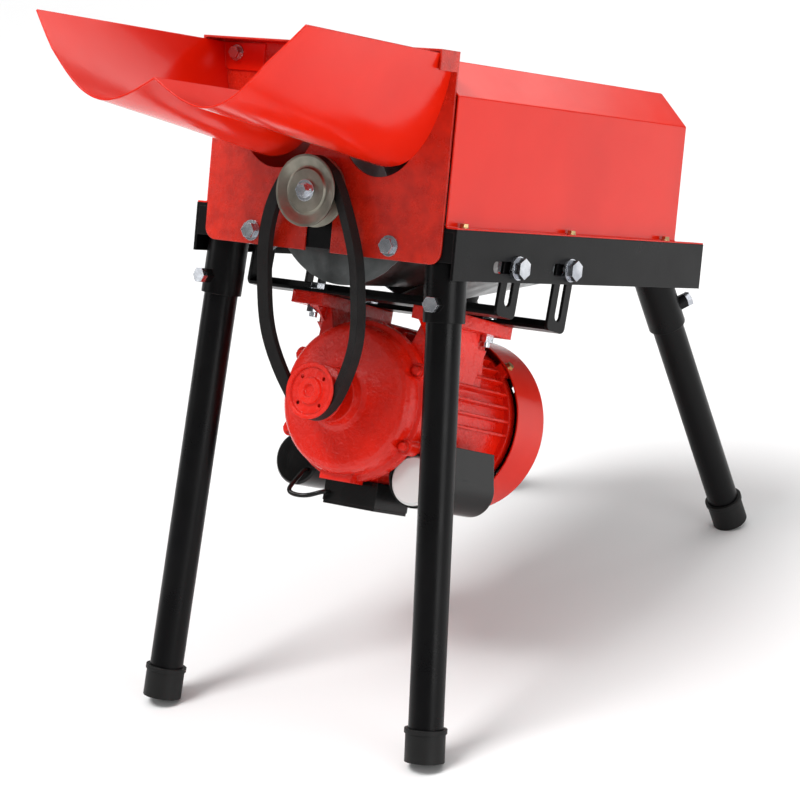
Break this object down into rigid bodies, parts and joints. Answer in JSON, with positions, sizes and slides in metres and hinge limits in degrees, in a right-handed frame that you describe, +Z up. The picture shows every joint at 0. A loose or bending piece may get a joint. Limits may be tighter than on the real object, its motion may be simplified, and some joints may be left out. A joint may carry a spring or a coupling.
{
  "type": "corn sheller",
  "caption": "Small electric corn sheller: open twin-trough tray and hood on a sloping angle frame with tube legs, belt-driven by a motor hung below.",
  "frame": {"origin": "on the floor under the middle of the bounding box", "axes": "+X to the machine's right seen from the rear of the operator, -Y toward the feed tray, +Z up"},
  "size_m": [0.3436, 0.6887, 0.6849],
  "materials": {
    "red_paint": "gloss enamel",
    "black_paint": "satin black enamel",
    "zinc": "bright zinc",
    "yellow_zinc": "yellow passivated zinc",
    "galvanised": "galvanised sheet",
    "steel": "turned steel",
    "cast_grey": "machined cast iron",
    "red_cast": "red painted casting",
    "core": "laminated steel",
    "black_plastic": "moulded",
    "white_plastic": "capacitor can end",
    "belt_rubber": "fabric covered",
    "foot_rubber": "moulded",
    "fan_plastic": "moulded"
  },
  "bodies": {
    "frame": {"cover": "red_paint", "front_plate": "red_paint", "feed_tray": "red_paint", "rear_plate": "red_paint", "left_rail": "black_paint", "right_rail": "black_paint", "front_cross_member": "black_paint", "rear_cross_member": "black_paint", "front_right_socket": "black_paint", "front_left_socket": "black_paint", "rear_right_socket": "black_paint", "rear_left_socket": "black_paint", "clamp_bolts": "zinc", "plate_bolts": "zinc", "tray_bolts": "zinc", "hanger_bolts": "zinc", "bearing_block_bolts": "zinc", "cover_screws": "yellow_zinc", "belly_pan": "galvanised", "grain_chute": "galvanised", "concave_sieve": "galvanised", "drum_bearings": "steel", "front_bearing_block": "cast_grey", "rear_bearing_block": "cast_grey", "drive_belt": "belt_rubber"},
    "rotor": {"drum_shaft": "steel", "threshing_drum": "cast_grey", "sheller_pulley": "cast_grey", "pulley_bolt": "zinc"},
    "cradle": {"front_crossbar": "black_paint", "rear_crossbar": "black_paint", "front_straps": "black_paint", "rear_straps": "black_paint", "motor_front_shield": "red_cast", "stator_housing": "red_cast", "stator_core": "core", "motor_rear_shield": "red_cast", "fan_cover": "red_paint", "fan_cover_screws": "yellow_zinc", "terminal_box": "black_plastic", "terminal_box_lid": "black_plastic", "start_capacitor_cover": "black_plastic", "start_capacitor": "white_plastic", "run_capacitor": "black_plastic", "capacitor_lead": "black_plastic", "motor_foot_bolts": "zinc", "shield_bolts": "red_cast", "motor_bearings": "steel"},
    "motor_rotor": {"motor_shaft": "steel", "rotor_core": "core", "cooling_fan": "fan_plastic", "motor_pulley": "red_cast"},
    "front_right_leg_set": {"front_right_leg": "black_paint", "front_right_foot": "foot_rubber"},
    "front_left_leg_set": {"front_left_leg": "black_paint", "front_left_foot": "foot_rubber"},
    "rear_right_leg_set": {"rear_right_leg": "black_paint", "rear_right_foot": "foot_rubber"},
    "rear_left_leg_set": {"rear_left_leg": "black_paint", "rear_left_foot": "foot_rubber"}
  },
  "joints": [
    {"name": "rotor_spin", "type": "hinge", "parent": "frame", "child": "rotor", "pos_m": [0, 0.08824, 0.41305], "axis": [0, 0.9505, -0.3107], "continuous": true},
    {"name": "cradle_drop", "type": "slide", "parent": "frame", "child": "cradle", "axis": [0, -0.4446, -0.8957], "range_m": [0, 0.012], "deforming": ["drive_belt"]},
    {"name": "motor_spin", "type": "hinge", "parent": "cradle", "child": "motor_rotor", "pos_m": [0, -0.0552, 0.24796], "axis": [0, 0.8957, -0.4446], "continuous": true},
    {"name": "front_right_leg_slide", "type": "slide", "parent": "frame", "child": "front_right_leg_set", "axis": [0.0673, -0.3203, -0.9449], "range_m": [0, 0.02]},
    {"name": "front_left_leg_slide", "type": "slide", "parent": "frame", "child": "front_left_leg_set", "axis": [-0.0673, -0.3203, -0.9449], "range_m": [0, 0.02]},
    {"name": "rear_right_leg_slide", "type": "slide", "parent": "frame", "child": "rear_right_leg_set", "axis": [0.0765, 0.2962, -0.9521], "range_m": [0, 0.02]},
    {"name": "rear_left_leg_slide", "type": "slide", "parent": "frame", "child": "rear_left_leg_set", "axis": [-0.0765, 0.2962, -0.9521], "range_m": [0, 0.02]}
  ],
  "couplings": [
    {"joint": "motor_spin", "follows": "rotor_spin", "ratio": 1.2348}
  ]
}
